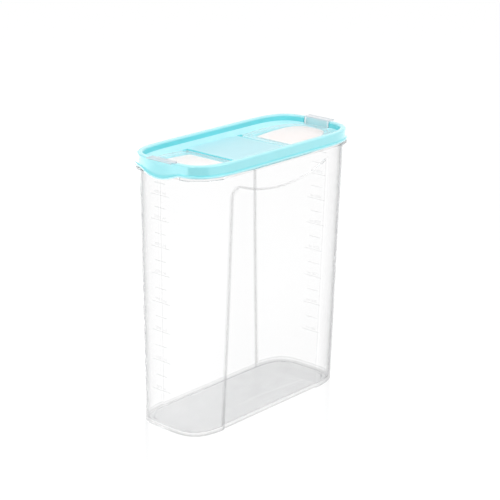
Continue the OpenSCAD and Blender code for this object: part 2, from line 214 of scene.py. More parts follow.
lit = node(tree, "AddShader", {0: glow.outputs[0], 1: shade.outputs[0]})
polish = node(tree, "BsdfGlossy", {"Color": WHITE, "Roughness": 0.17})
sheen = node(tree, "MixShader", {"Fac": FLOOR_SHEEN, 1: lit.outputs[0], 2: polish.outputs[0]})
both = node(tree, "MixShader", {"Fac": seen_plainly(tree, rays),
                                          1: plain.outputs[0], 2: sheen.outputs[0]})
tree.links.new(both.outputs[0], out.inputs["Surface"])
floor.data.materials.append(white_floor)

# %% [markdown]
# ## Surfaces from rows of points
# Every moulded piece here is rows of points worked out with numpy. Neighbouring rows are joined
# by four-sided faces, and a row can be closed by one flat face. The same call makes a bowl, a
# ring or a bar, so the shape lies only in the formula for the rows.


# %% Values on points
def keep_values(mesh, name, values):
    """Keeps one number for each point of mesh, as the attribute called name."""
    kept = mesh.attributes.new(name, "FLOAT", "POINT")
    kept.data.foreach_set("value", np.asarray(values, float).ravel())


# %% Mesh from rows
def shell(name, rows, material, loop=False, start=False, end=False, sharp=32.0, values=None, mark="dense"):
    """rows[i, j] is the point at row i and column j, in millimetres. Columns join round, and with
    loop so do the rows. start and end close the first and last row with a flat face. values has
    a number for each point, kept as the attribute called mark. Faces are turned outward: the sum
    over faces of centre times normal must be positive."""
    rows = np.asarray(rows, float)
    count, width = rows.shape[:2]
    index = np.arange(count * width).reshape(count, width)
    index = np.hstack([index, index[:, :1]])
    if loop:
        index = np.vstack([index, index[:1]])
    quads = np.stack([index[:-1, :-1], index[:-1, 1:], index[1:, 1:], index[1:, :-1]], -1).reshape(-1, 4)
    points = rows.reshape(-1, 3)
    corners = points[quads]
    normal = np.cross(corners[:, 2] - corners[:, 0], corners[:, 3] - corners[:, 1])
    volume = (corners.mean(1) * normal).sum()
    caps = []
    if start:
        caps.append(index[0, :width][::-1])
    if end:
        caps.append(index[count - 1, :width])
    for cap in caps:
        ring = points[cap]
        volume += (ring.mean(0) * np.cross(ring, np.roll(ring, -1, 0)).sum(0)).sum()
    faces = quads.tolist() + [cap.tolist() for cap in caps]
    if volume < 0:
        faces = [face[::-1] for face in faces]
    mesh = bpy.data.meshes.new(name)
    mesh.from_pydata((points * MM).tolist(), [], faces)
    if values is not None:
        keep_values(mesh, mark, values)
    mesh.shade_smooth()
    mesh.set_sharp_from_angle(angle=math.radians(sharp))
    mesh.materials.append(material)
    print(name, "faces:", len(faces))
    return add_object(name, mesh)


def mix(a, b, t):
    """The value a share t of the way from a to b."""
    return a + (b - a) * t


def smooth(t):
    """0 below 0, 1 above 1, and an S-curve between them."""
    t = np.clip(t, 0, 1)
    return t * t * (3 - 2 * t)


# %% [markdown]
# ## Grain
# Every moulded plastic here has a fine grain and a broad, faint mottle. Both come from noise,
# kept in one node group that the materials share. An image could do it, but noise has no seam.

# %% Grain group
GRAIN_DEPTH = 0.0004
MOTTLES_PER_METRE = 60.0


def grain_group():
    """A node group: a fine bump from noise, and a broad mottle. Size is in grains per metre."""
    group = bpy.data.node_groups.new("moulded_grain", "ShaderNodeTree")
    for name in ("Size", "Height"):
        group.interface.new_socket(name, in_out="INPUT", socket_type="NodeSocketFloat")
    group.interface.new_socket("Normal", in_out="OUTPUT", socket_type="NodeSocketVector")
    group.interface.new_socket("Mottle", in_out="OUTPUT", socket_type="NodeSocketFloat")
    given = group.nodes.new("NodeGroupInput")
    handed = group.nodes.new("NodeGroupOutput")
    place = node(group, "TexCoord").outputs["Object"]
    fine = node(group, "TexNoise",
                {"Vector": place, "Scale": given.outputs["Size"], "Detail": 3.0})
    bump = node(group, "Bump", {"Height": fine.outputs["Fac"], "Distance": GRAIN_DEPTH,
                                          "Strength": given.outputs["Height"]})
    broad = node(group, "TexNoise", {"Vector": place, "Scale": MOTTLES_PER_METRE, "Detail": 2.0})
    group.links.new(bump.outputs["Normal"], handed.inputs["Normal"])
    group.links.new(broad.outputs["Fac"], handed.inputs["Mottle"])
    return group


grain = grain_group()
print("node group:", grain.name)


# %% What the plastics share
def grained(tree, size, height, colour, mottle):
    """The grain's normal and mottle at a size and height, and colour with its brightness mottled
    by that share either way."""
    skin = node(tree, "Group", {"Size": size, "Height": height}, node_tree=grain)
    value = scaled(tree, skin.outputs["Mottle"], 2 * mottle, 1 - mottle)
    shade = node(tree, "HueSaturation", {"Value": value, "Color": colour})
    return skin.outputs["Normal"], skin.outputs["Mottle"], shade.outputs["Color"]


def plastic(tree, out, sockets):
    """A Principled shader with these sockets, joined to the material's output."""
    skin = node(tree, "BsdfPrincipled", sockets)
    tree.links.new(skin.outputs[0], out.inputs["Surface"])

# %% [markdown]
# ## Clear plastic
# Thin clear plastic hides almost nothing where it is met square on, and turns grey where the
# sight line runs along the wall. Refraction would give this only in a dark room, so the grey is
# painted shade: the wall is see-through by a share that rises steeply towards grazing sight. A
# value on the points, called dense, marks thicker places, such as the foot and the rim, and
# paints them greyer. Another, called step, runs from 0 to 1 across the slope round a grip
# panel: a real moulding is rounded at both borders of that slope, and the material paints the
# shade that its refraction gives there as two fine grey lines.

# %% Clear plastic material
SHADOW_SHARE = 0.15
EDGE_CAP = 0.42
LINE_SHARE, LINE_PLACE, LINE_WIDTH = 0.30, 0.42, 0.07
MOTTLE = 0.15


def lets_light(tree):
    """1 for sight, and SHADOW_SHARE for shadow rays: clear and milky plastic pass most light on."""
    shadow = node(tree, "LightPath").outputs["Is Shadow Ray"]
    return scaled(tree, shadow, SHADOW_SHARE - 1, 1.0)


def crease_shade_lines(tree):
    """Painted shade along the panel's rounded step borders: LINE_SHARE where step is
    0.5 - LINE_PLACE or 0.5 + LINE_PLACE, falling to 0 in LINE_WIDTH.
    """
    step = point_value(tree, "step")
    away = calc(tree, "ABSOLUTE", calc(tree, "SUBTRACT", step, 0.5))
    away = calc(tree, "ABSOLUTE", calc(tree, "SUBTRACT", away, LINE_PLACE))
    line = scaled(tree, away, -LINE_SHARE / LINE_WIDTH, LINE_SHARE)
    return calc(tree, "MAXIMUM", line, 0.0)


def clear_plastic(name, colour, face_on, grazing, steep, density):
    """Solid share = (face_on + density * dense + min(grazing * facing^steep, EDGE_CAP)), mottled
    by MOTTLE, + crease_shade_lines. The grey that this share shows is painted shade in place of
    refraction."""
    material, tree, out = new_material(name)
    facing = node(tree, "LayerWeight", {"Blend": 0.5}).outputs["Facing"]
    edge = calc(tree, "POWER", facing, steep)
    edge = calc(tree, "MINIMUM", calc(tree, "MULTIPLY", edge, grazing), EDGE_CAP)
    dense = point_value(tree, "dense")
    share = calc(tree, "ADD", scaled(tree, dense, density, face_on), edge)
    broad = node(tree, "Group", node_tree=grain).outputs["Mottle"]
    mottle = scaled(tree, broad, 2 * MOTTLE, 1 - MOTTLE)
    share = calc(tree, "ADD", calc(tree, "MULTIPLY", share, mottle), crease_shade_lines(tree), clamp=True)
    share = calc(tree, "MULTIPLY", share, lets_light(tree))
    plastic(tree, out, {"Base Color": (*colour, 1), "Roughness": 0.1, "IOR": 1.49,
                        "Specular IOR Level": 0.1, "Alpha": share})
    return material


clear_tub = clear_plastic("clear_polypropylene", (0.42, 0.42, 0.43), 0.006, 3.6, 6.0, 0.25)

# %% [markdown]
# ## Tub
# The tub is one shell: foot, outer wall, rim, inner wall and floor. Its outline is two straight
# sides with superellipse ends, and it tapers to the base. On each broad side a grip panel is
# sunk 2.8 mm. A boolean could cut it, but leaves ragged triangles in a clear wall. So its edges
# bend the grid's own rows and columns: each crease runs along mesh edges and stays crisp.

# %% Tub sizes
# The draft is how much the walls close in towards the base. A cap is the length of the rounded end.
TUB_HEIGHT = 266.6
NECK_FOOT = 235.0
RIM_LENGTH, RIM_WIDTH = 230.0, 97.8
LENGTH_DRAFT, WIDTH_DRAFT = 6.0, 10.2
RIM_CAP, BASE_CAP = 69.0, 64.0
SQUARENESS = 3.8
WALL = 1.3
FLOOR_TOP, FLOOR_FILLET = 3.5, 1.2
WALL_TOP = 254.5
print("tub, mm:", RIM_LENGTH, "by", RIM_WIDTH, "by", TUB_HEIGHT)

# %% Panel sizes
# The panel's border is a sloped step. Its long upright edge swings out by LONG_SPREAD towards the
# base, and its top edge sags to PANEL_DIP.
PANEL_DEPTH = 2.8
LONG_STEP, TOP_STEP, SHORT_STEP = 7.1, 2.0, 1.2
LONG_TOP, LONG_SPREAD, SHORT_EDGE = 67.3, 3.2, 70.0
PANEL_DIP, PANEL_RISE, PANEL_CORNER = 230.4, 14.0, 7.0
STEP_EASE = 0.08
# Inner creases lie further out by wall * tan(half the slope's angle): two shares, and a length.
LONG_IN, SHORT_IN, INNER_TOP = 0.19, 0.66, 0.67
FRONT_REACH, ROW_CEILING = 84.0, 246.5
BREAK_FROM, BREAK_TO = 0.168, 0.196
print("panel, mm:", LONG_TOP + SHORT_EDGE, "long and", PANEL_DEPTH, "deep")


# %% Taper
def tub_size(z):
    """Half length, half width and length of the rounded end at height z. The walls open evenly
    up to NECK_FOOT, and the neck stays at rim size."""
    share = np.minimum(z / NECK_FOOT, 1)
    return ((RIM_LENGTH - LENGTH_DRAFT * (1 - share)) / 2, (RIM_WIDTH - WIDTH_DRAFT * (1 - share)) / 2,
            mix(BASE_CAP, RIM_CAP, share))


# %% Tub outline
def end_point(c, s, long_half, wide_half, cap, squareness):
    """A superellipse end: x = m + cap c^(2/p), y = w s^(2/p), with its outward normal."""
    q = 2 / squareness
    x = long_half - cap + cap * c ** q
    y = wide_half * s ** q
    nx, ny = c ** (2 - q) / cap, s ** (2 - q) / wide_half
    size = np.hypot(nx, ny)
    return x, y, nx / size, ny / size


def side_point(x, z):
    """The outline's distance from the long axis at x, with its normal, for |x| off the very end."""
    long_half, wide_half, cap = tub_size(z)
    share = np.clip((np.abs(x) - long_half + cap) / cap, 0, 1)
    c = share ** (SQUARENESS / 2)
    _, y, nx, ny = end_point(c, np.sqrt(1 - c * c), long_half, wide_half, cap, SQUARENESS)
    return y, nx * np.sign(x), ny


# %% Grip panel
middle = (SHORT_EDGE - LONG_TOP) / 2
arc = (((SHORT_EDGE + LONG_TOP) / 2) ** 2 + PANEL_RISE ** 2) / (2 * PANEL_RISE)
corner_x = PANEL_CORNER - LONG_TOP


def panel_top(x):
    """Height of the panel's curved top edge, an arc of a circle."""
    return PANEL_DIP + arc - np.sqrt(arc ** 2 - (x - middle) ** 2)


corner_z = panel_top(corner_x) - PANEL_CORNER
print("middle of the panel's corner, mm:", round(corner_x, 1), round(float(corner_z), 1))


def long_shift(z):
    """How far the long edge has swung out at height z."""
    return -LONG_SPREAD * (1 - np.clip((z + 2) / (corner_z + 2), 0, 1)) ** 2


def panel_edge(x, z, skin):
    """An even slope over each step: 1 and more on the panel's floor, 0 and less outside it. The
    corner runs by its radius, between an arc and an ellipse. skin is 0 outside, WALL inside."""
    spread = [skin * math.tan(math.atan(PANEL_DEPTH / w) / 2) for w in (LONG_STEP, TOP_STEP, SHORT_STEP)]
    long_part = (-LONG_TOP + long_shift(z) - spread[0] - x) / LONG_STEP
    top_part = (z - panel_top(np.clip(x, corner_x, SHORT_EDGE)) - spread[1]) / TOP_STEP
    short_part = (x - SHORT_EDGE - spread[2]) / SHORT_STEP
    dx, dz = corner_x - spread[0] + long_shift(z) - x, z - corner_z - spread[1]
    turn = np.arctan2(np.maximum(dz, 0), np.maximum(dx, 1e-9))
    outer = 1 / np.hypot(np.cos(turn) / (PANEL_CORNER + LONG_STEP),
                         np.sin(turn) / (PANEL_CORNER + TOP_STEP))
    corner_part = (np.hypot(dx, dz) - PANEL_CORNER) / (outer - PANEL_CORNER)
    in_corner = (dx > 0) & (dz > 0)
    straight_part = np.maximum.reduce([long_part, top_part, short_part])
    edge = np.where(in_corner, np.maximum(corner_part, short_part), straight_part)
    return np.clip(1 - edge, -1, 2)


def panel_share(x, z, skin):
    """The panel's depth from 0 to 1, eased at both ends: e - STEP_EASE sin(2 pi e)."""
    even = np.clip(panel_edge(x, z, skin), 0, 1)
    return even - STEP_EASE * np.sin(2 * np.pi * even)


# %% Tub columns
def spans(*knots):
    """Evenly spaced values between knots. knots are value, count, value, count, ... value."""
    stops = knots[::2]
    pieces = [np.linspace(a, b, n, endpoint=False) for a, n, b in zip(stops, knots[1::2], stops[1:])]
    return np.concatenate([*pieces, [stops[-1]]])


def tub_columns(skin):
    """Columns of half the loop: the front side by x, with how much each follows the long edge's
    swing, then the right-hand end by a share of its turn, closer beside the flange's break."""
    a = LONG_TOP + skin * LONG_IN
    c = SHORT_EDGE + skin * SHORT_IN
    front = spans(-FRONT_REACH, 6, -a - LONG_STEP, 10, -a, 60, c, 5, c + SHORT_STEP, 5, FRONT_REACH)
    weight = np.interp(front, [-FRONT_REACH, -a - LONG_STEP, -a, c], [0, 1, 1, 0])
    even = np.linspace(-1, 1, 91)[1:-1]
    bend = np.sign(even) * np.abs(even) ** 1.25
    extra = np.array([BREAK_FROM, 0.176, 0.184, BREAK_TO])
    turn = np.unique(np.round(np.concatenate([bend, extra, -extra]), 4))
    return front, weight, turn


# %% One row of the tub
def tub_row(z, off, skin, columns, panel=True):
    """One closed row of the tub at heights z (one per column of the half loop), moved outward by
    off. The second half is the first turned half round."""
    front, weight, turn = columns
    count = len(front)
    z = np.broadcast_to(np.asarray(z, float), (count + len(turn),))
    off = np.broadcast_to(np.asarray(off, float), z.shape)
    zf, zc = z[:count], z[count:]
    x = front + weight * long_shift(zf)
    y, nx, ny = side_point(x, zf)
    reach = y + ny * off[:count]
    if panel:
        reach = np.minimum(reach, tub_size(zf)[1] - skin - PANEL_DEPTH * panel_share(x, zf, skin))
    front_points = np.stack([x + nx * off[:count], -reach, zf], -1)
    long_half, wide_half, cap = tub_size(zc)
    start = np.arccos(np.clip((FRONT_REACH - long_half + cap) / cap, 0, 1) ** (SQUARENESS / 2))
    angle = turn * start
    ex, ey, enx, eny = end_point(np.cos(angle), np.abs(np.sin(angle)), long_half, wide_half, cap,
                                 SQUARENESS)
    side = np.sign(angle)
    end_points = np.stack([ex + enx * off[count:], side * (ey + eny * off[count:]), zc], -1)
    half = np.vstack([front_points, end_points])
    return np.vstack([half, half * (-1, -1, 1)])


# %% Heights of the wall's rows
def wall_heights(low, spread, columns):
    """Heights of the wall's rows from low to WALL_TOP. They bend to follow the panel's top edge,
    and spread moves that bend up on the inner wall."""
    front, _, turn = columns
    panel_line = np.minimum(panel_top(front), ROW_CEILING)
    crest_line = np.concatenate([panel_line, np.full(len(turn), ROW_CEILING)]) + spread
    rows = [mix(low, crest_line, t) for t in np.linspace(0, 1, 64)]
    rows += [crest_line + TOP_STEP * t for t in (0.12, 0.3, 0.5, 0.7, 0.88, 1)]
    rows += [mix(crest_line + TOP_STEP, WALL_TOP, t) for t in np.linspace(0, 1, 9)[1:]]
    return rows


def flange_share(columns):
    """1 along the flange, 0 in its break under each thumb lug."""
    front, _, turn = columns
    ends = smooth((np.abs(turn) - BREAK_FROM) / (BREAK_TO - BREAK_FROM))
    return np.concatenate([np.ones(len(front)), ends])


# %% Rows with their density
# How dense, and so how grey, each part looks: painted shade in place of refraction. TOP_CREASE_SHADE is
# the painted shade that the step along the panel's top edge adds, from its left end to its right.
WALL_DENSE, LEVEL_DENSE, RIM_DENSE, WAIST_DENSE = 0.0, 0.005, 0.15, 0.4
THICK_DENSE, FILLET_DENSE, FOOT_DENSE = 0.6, 0.7, 0.8
TOP_CREASE_SHADE = (-0.5, 0.9)
outer, inner = tub_columns(0), tub_columns(WALL)
flange = flange_share(outer)
rows, dense, steps = [], [], []


def add_row(z, off, density, skin=0.0, columns=outer, panel=True, lined=False):
    """Adds a row to the tub, with how dense it looks. A lined row carries the panel's step too;
    any other has -1 there, which draws no line."""
    rows.append(tub_row(z, off, skin, columns, panel))
    front, weight, turn = columns
    step = np.full(len(front) + len(turn), -1.0)
    heavy = np.full(len(step), float(density))
    if lined:
        zf = np.broadcast_to(np.asarray(z, float), step.shape)[:len(front)]
        x = front + weight * long_shift(zf)
        step[:len(front)] = panel_edge(x, zf, skin)
        rise = (zf - panel_top(np.clip(x, corner_x, SHORT_EDGE))) / TOP_STEP - 0.5
        along = (x - corner_x) / (SHORT_EDGE - corner_x)
        on_top = (np.abs(rise) < 0.4) & (along > 0) & (along < 1)
        heavy[:len(front)] += mix(*TOP_CREASE_SHADE, along) * on_top
    steps.append(np.tile(step, 2))
    dense.append(np.tile(heavy, 2))


# %% Waist under the floor
WAIST_IN, WAIST_HALF, WAIST_SPREAD = 11.2, 14.6, 10.4


def waist_row(z, grow, density=LEVEL_DENSE):
    """The hourglass step under the floor, with a point for each column of the tub. Its half width
    is WAIST_HALF + WAIST_SPREAD (x / half length)^2, and grow moves it outward."""
    front, _, turn = outer
    half = tub_size(0)[0] - WAIST_IN + grow
    x = front * half / FRONT_REACH
    tip = WAIST_HALF + grow + WAIST_SPREAD
    side = np.stack([x, -(WAIST_HALF + grow + WAIST_SPREAD * (x / half) ** 2), np.full(len(x), z)], -1)
    end = np.stack([np.full(len(turn), half), turn * tip, np.full(len(turn), z)], -1)
    half_loop = np.vstack([side, end])
    rows.append(np.vstack([half_loop, half_loop * (-1, -1, 1)]))
    dense.append(np.full(len(rows[-1]), density))
    steps.append(np.full(len(rows[-1]), -1.0))


waist_row(1.4, 0.0)
waist_row(1.35, 0.05, WAIST_DENSE)
waist_row(1.0, 0.55, WAIST_DENSE)
waist_row(1.0, 0.65)
print("waist, mm wide:", 2 * WAIST_HALF, "to", 2 * (WAIST_HALF + WAIST_SPREAD))

# %% Foot and outer wall
add_row(1.0, -5.8, LEVEL_DENSE, panel=False)
add_row(0.1, -5.25, THICK_DENSE, panel=False)
add_row(0.0, -5.0, FOOT_DENSE, panel=False)
for height, reach in ((0.0, -1.2), (0.12, -0.8), (0.35, -0.45)):
    add_row(height, reach, FOOT_DENSE)
add_row(0.75, -0.15, 0.5)
for height in wall_heights(1.3, 0.0, outer):
    add_row(height, 0.0, WALL_DENSE, lined=True)

# %% Flange and rim
for height, reach in ((255.4, 0.0), (255.6, 3.4), (255.75, 3.75), (256.1, 3.9), (257.7, 3.9),
                      (258.05, 3.75), (258.2, 3.4), (258.3, 0.0)):
    add_row(height, reach * flange, THICK_DENSE)
for height, reach in ((263.6, 0), (264.0, 0.4), (264.3, 0.6), (265.5, 0.6), (266.2, 0.5),
                      (TUB_HEIGHT, 0.3)):
    add_row(height, reach, RIM_DENSE)
add_row(TUB_HEIGHT, -1.0, RIM_DENSE, WALL, inner)
add_row(TUB_HEIGHT - 0.3, -WALL, RIM_DENSE, WALL, inner)
print("rows up to the rim:", len(rows))

# %% Inner wall and floor
for height in wall_heights(FLOOR_TOP + FLOOR_FILLET, INNER_TOP, inner)[::-1]:
    add_row(height, -WALL, WALL_DENSE, WALL, inner, lined=True)
for roll in np.radians([72, 54, 36, 18, 0]):
    add_row(FLOOR_TOP + FLOOR_FILLET * (1 - math.cos(roll)), -WALL - FLOOR_FILLET * (1 - math.sin(roll)),
            FILLET_DENSE if roll > 0 else LEVEL_DENSE, WALL, inner)
tub = shell("tub", rows, clear_tub, start=True, end=True, sharp=30.0, values=dense)
keep_values(tub.data, "step", steps)


def on_tub(piece):
    """Makes a piece part of the tub."""
    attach(piece, "container_body")
    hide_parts("container_body")


on_tub(tub)

# %% [markdown]
# ## Turquoise plastic
# The lid is moulded in a tinted plastic that lets a little light through. A thin skirt over a
# white rim looks pale, and a hollow where light bounces from wall to wall looks deep. A value on
# the points, called deep, mixes a pale tint for the lit plastic and a deep tint for the same
# plastic in shade, because real scattering would be slow and noisy. So the colour carries painted
# shade, deepest in hollows, and painted light, palest on the bead and the ledge.
# The fine grain keeps the gloss from looking like glass, and the bridge has a coarser one.

# %% Turquoise material
def turquoise(name, pale, deep, roughness, size, height):
    """Base colour runs from the pale, lit tint to the deep, shaded one by the value deep on the
    points: painted light and painted shade, mottled by 3 %.
    """
    material, tree, out = new_material(name)
    depth = point_value(tree, "deep")
    tint = node(tree, "MixRGB", {"Fac": depth, "Color1": (*pale, 1), "Color2": (*deep, 1)})
    normal, mottle, shade = grained(tree, size, height, tint.outputs["Color"], 0.03)
    plastic(tree, out, {"Base Color": shade, "Roughness": scaled(tree, mottle, 0.06, roughness),
                        "IOR": 1.5, "Normal": normal})
    return material


# The pale tint is the plastic as lit, and the deep one is the same plastic in shade. The shares below are
# how much painted shade each part takes: most in hollows, and little on the bead, which reads as a painted
# highlight.
PALE_LIT, DEEP_SHADED, MATTE = (0.48, 0.84, 0.89), (0.18, 0.72, 0.78), (0.50, 0.79, 0.85)
BEAD_HIGHLIGHT, MID_SHADE, HOLLOW_SHADE = 0.15, 0.52, 1.0
gloss_lid = turquoise("turquoise_gloss", PALE_LIT, DEEP_SHADED, 0.16, 900.0, 0.08)
matte_lid = turquoise("turquoise_matte", MATTE, DEEP_SHADED, 0.42, 2600.0, 0.35)

# %% [markdown]
# ## Lid ring
# One section runs round the rim: a skirt with a bead along its foot, a rounded crest, an upright
# wall inside it and a ledge that slopes down to the deck. So the ring is that section carried
# round the rim's outline. At both ends the crest drops to take the flap's tab, and the skirt's
# foot swings down and out into a thumb lug. A boolean could cut the notch, but a change to the
# same rows, column by column, keeps the rounding whole.

# %% Lid sizes
# Heights are over the table. An outline is half length, half width, length of the rounded end
# and squareness.
CREST, SKIRT_FOOT, WALL_FOOT, BRIDGE_TOP = 270.1, 258.5, 264.1, 258.8
HINGE_X, HINGE_Z = 40.0, 257.3
SLOPE = 4.5 / 70.1
SEAT = HINGE_Z - 0.55
RIM = (RIM_LENGTH / 2, RIM_WIDTH / 2, RIM_CAP, SQUARENESS)
DECK = (110.1, 40.6, 68.0, 2.8)
OPENING = (98.6, 25.6, 54.0, 3.4)
DECK_NEAR, OPENING_NEAR = 42.7, 54.5
SKIRT_OUT, WALL_IN = 2.2, -3.3
CREST_OUT, CREST_IN = 1.4, 1.2
NOTCH_HALF, NOTCH_FLOOR, RECESS_X = 17.1, 269.3, 113.1
LUG_MIDDLE, LUG_HALF, LUG_DROP, LUG_LEAN = 1.7, 23.0, 5.5, 2.0
LUG_TOP, LUG_BOTTOM = 268.0, 260.9
BOSS_REACH = 43.3
BRIDGE_HALF, BRIDGE_EASE = 36.2, 1.2
print("the deck slopes up by degrees:", round(math.degrees(math.atan(SLOPE)), 2))


# %% Lid columns
# quarter holds the turns over a quarter of the end: by width in mm near the tab, then even. turn
# is each column's turn round the end, and along its place on the straight side, from 1 to -1.
widths = np.array([0, 2.5, 5, 7.5, 10, 12.5, 15, 16.6, NOTCH_HALF, NOTCH_HALF + 0.06,
                   18, 19, 20, 21, 22.5, 24.5, 27, 30])
near = np.arcsin((widths / RIM[1]) ** (SQUARENESS / 2))
quarter = np.concatenate([near, np.linspace(near[-1], math.pi / 2, 29)[1:]])
straight = RIM[0] - RIM[2]
by_boss = np.array([BOSS_REACH, BOSS_REACH + 0.15]) / straight
side = np.sort(np.concatenate([np.linspace(-1, 1, 47)[1:-1], by_boss, -by_boss]))[::-1]
turn = np.concatenate([quarter, np.full(len(side), math.pi / 2), quarter[:0:-1]])
along = np.concatenate([np.ones(len(quarter)), side, -np.ones(len(quarter) - 1)])
print("lid columns:", 2 * len(turn))


def loop_line(size, off=0.0):
    """Half of a rounded outline at the lid's columns: x = straight part by along + cap c^(2/p),
    y = w s^(2/p), moved outward by off. The other half is the same, turned half round."""
    long_half, wide_half, cap, p = size
    reach, wide, nx, ny = end_point(np.cos(turn).clip(0), np.sin(turn), cap, wide_half, cap, p)
    return (long_half - cap) * along + np.sign(along) * (reach + off * nx), wide + off * ny


def both_halves(x, y, z):
    """A closed row from half of it."""
    half = np.stack([x, y, np.broadcast_to(z, x.shape)], -1)
    return np.vstack([half, half * (-1, -1, 1)])


def seat_height(x):
    """Height of the deck's upper side: level up to the hinge, then rising with SLOPE."""
    return SEAT + np.maximum(np.abs(x) - HINGE_X, 0) * SLOPE


# %% Edge of the deck
def bridge_edge(x, base):
    """Half width of the bridge at x: base, and BRIDGE_EASE more towards its middle."""
    return base + BRIDGE_EASE * smooth((36 - np.abs(x)) / 12)


def deck_line():
    """Where the ledge meets the deck. On the sides it lies straight across from the wall's foot.
    At the tips it is the point of the deck's outline that faces the same way: s/c of its turn is
    (ny w / nx cap)^(1 / (2 - 2/p))."""
    long_half, wide_half, cap, p = DECK
    _, _, nx, ny = end_point(np.cos(turn).clip(0), np.sin(turn), RIM[2], RIM[1], RIM[2], RIM[3])
    power = 1 / (2 - 2 / p)
    facing = np.arctan2((ny * wide_half) ** power, (nx * cap) ** power)
    tip_x = long_half - cap + cap * np.cos(facing).clip(0) ** (2 / p)
    across = np.abs(loop_line(RIM, WALL_IN)[0])
    x = mix(np.minimum(across, long_half), tip_x, smooth((across - 60) / 30))
    y = wide_half * (1 - (np.maximum(x - long_half + cap, 0) / cap).clip(0, 1) ** p) ** (1 / p)
    by_bridge = x < BOSS_REACH + 0.05
    z = np.where(by_bridge, BRIDGE_TOP, seat_height(x))
    return x * np.where(along < 0, -1, 1), np.where(by_bridge, bridge_edge(x, 42.1), y), z


# %% Ring rows
# across runs from -1 to 1 over a lug, and lug is its rounded share: (1 - across^2)^1.15.
rim_x, rim_y = loop_line(RIM)
notched = rim_y < NOTCH_HALF + 0.03
across = (rim_y + LUG_MIDDLE * np.sign(along)) / LUG_HALF
lug = np.where(rim_y < 40, (1 - across ** 2).clip(0) ** 1.15, 0)
rows, deep = [], []


def ring_row(x, y, z, tint):
    """Adds one row to the ring, with how deep its tint is."""
    rows.append(both_halves(x, y, z))
    deep.append(np.full(len(rows[-1]), tint))


def skirt_row(z, off, tint, lean=LUG_LEAN):
    """A row of the skirt. Over a lug it moves down by LUG_DROP and out by lean, and less so from
    LUG_BOTTOM up to LUG_TOP."""
    share = lug * min(max((LUG_TOP - z) / (LUG_TOP - LUG_BOTTOM), 0), 1)
    ring_row(*loop_line(RIM, off + lean * share), z - LUG_DROP * share, tint)


# Painted shade inside the skirt's foot, a painted highlight on the bead, and painted shade in the crease
# above it.
skirt_row(260.2, 1.3, HOLLOW_SHADE, 2.6)
skirt_row(SKIRT_FOOT + 0.1, 1.3, HOLLOW_SHADE, 2.8)
for height, off in ((SKIRT_FOOT, 1.5), (SKIRT_FOOT, 3.2), (258.62, 3.52), (258.95, 3.7), (259.7, 3.7),
                    (260.1, 3.55)):
    skirt_row(height, off, BEAD_HIGHLIGHT)
for height, off in ((260.38, 3.15), (260.58, 2.65), (260.9, 2.42)):
    skirt_row(height, off, 0.8)
for height, off in ((262.3, 2.36), (264.0, 2.31), (266.0, 2.25), (267.6, SKIRT_OUT), (268.7, SKIRT_OUT)):
    skirt_row(height, off, MID_SHADE)

# %% Crest, wall, ledge and underside
bend = np.radians(np.arange(18, 91, 18))
crest = [(CREST - CREST_OUT + CREST_OUT * math.sin(a), SKIRT_OUT - CREST_OUT + CREST_OUT * math.cos(a))
         for a in bend]
crest += [(CREST, -0.6), (CREST, WALL_IN + CREST_IN)]
crest += [(CREST - CREST_IN + CREST_IN * math.cos(a), WALL_IN + CREST_IN - CREST_IN * math.sin(a))
          for a in bend]
for height, off in crest:
    x, y = loop_line(RIM, off)
    share = (SKIRT_OUT - off) / (SKIRT_OUT - WALL_IN)
    cut_x = np.sign(along) * mix(np.abs(rim_x) + SKIRT_OUT, RECESS_X, share)
    ring_row(np.where(notched, cut_x, x), np.where(notched, rim_y, y),
             np.where(notched, NOTCH_FLOOR - 0.3 * (1 - min(share * 8, 1)), height), 0.3)
# The notch's floor is level across the crest, and its inner face stands at RECESS_X.
wall_x, wall_y = loop_line(RIM, WALL_IN)
foot_x = np.where(notched, np.sign(along) * RECESS_X, wall_x)
foot_y = np.where(notched, rim_y, wall_y)
foot_z = np.where(notched, seat_height(RECESS_X), WALL_FOOT)
top_z = np.where(notched, NOTCH_FLOOR, CREST - CREST_IN)
# The inner wall is painted in the deepest shade, and the ledge below it in none.
for share, tint in ((0.06, 0.5), (0.15, HOLLOW_SHADE), (0.55, HOLLOW_SHADE), (0.97, HOLLOW_SHADE), (1.0, 0.5)):
    ring_row(foot_x, foot_y, mix(top_z, foot_z, share), tint)
edge_x, edge_y, edge_z = deck_line()
for share in (0.04, 0.35, 0.7, 1.0):
    ring_row(mix(foot_x, edge_x, share), mix(foot_y, edge_y, share), mix(foot_z, edge_z, share), 0.0)

under_z = np.minimum(edge_z, seat_height(edge_x)) - 1.6
ring_row(edge_x, edge_y - 0.2, under_z, MID_SHADE)
for off, height in ((-2.4, under_z), (-1.5, under_z + 0.9), (-1.5, 266.9), (1.4, 266.9), (1.35, 263.8),
                    (0.9, 262.8), (0.9, 262.2), (1.1, 261.2)):
    ring_row(*loop_line(RIM, off), height, MID_SHADE)
lid_ring = shell("lid_ring", rows, gloss_lid, loop=True, values=deep, mark="deep")
print("lug hangs to mm:", round(float(np.concatenate(rows)[:, 2].min()), 2))

# %% [markdown]
# ## Deck
# Inside the ring a flat bridge joins two dished halves. Each half tilts up from its hinge to the
# end of the lid and has a pour opening with a lip under it. A gutter beside the bridge holds the
# hinge barrel, and a boss with a slotted socket stands at each of its ends. Everything on the
# slope is drawn flat and then turned about the hinge, as the moulder's drawing would be.

# %% Flat parts on the slope
def on_slope(x, y, z):
    """Turns points about the hinge by the slope's angle. z is counted from the hinge's axis."""
    angle = math.atan(SLOPE)
    return np.stack([HINGE_X + (x - HINGE_X) * math.cos(angle) - z * math.sin(angle), y,
                     HINGE_Z + (x - HINGE_X) * math.sin(angle) + z * math.cos(angle)], -1)


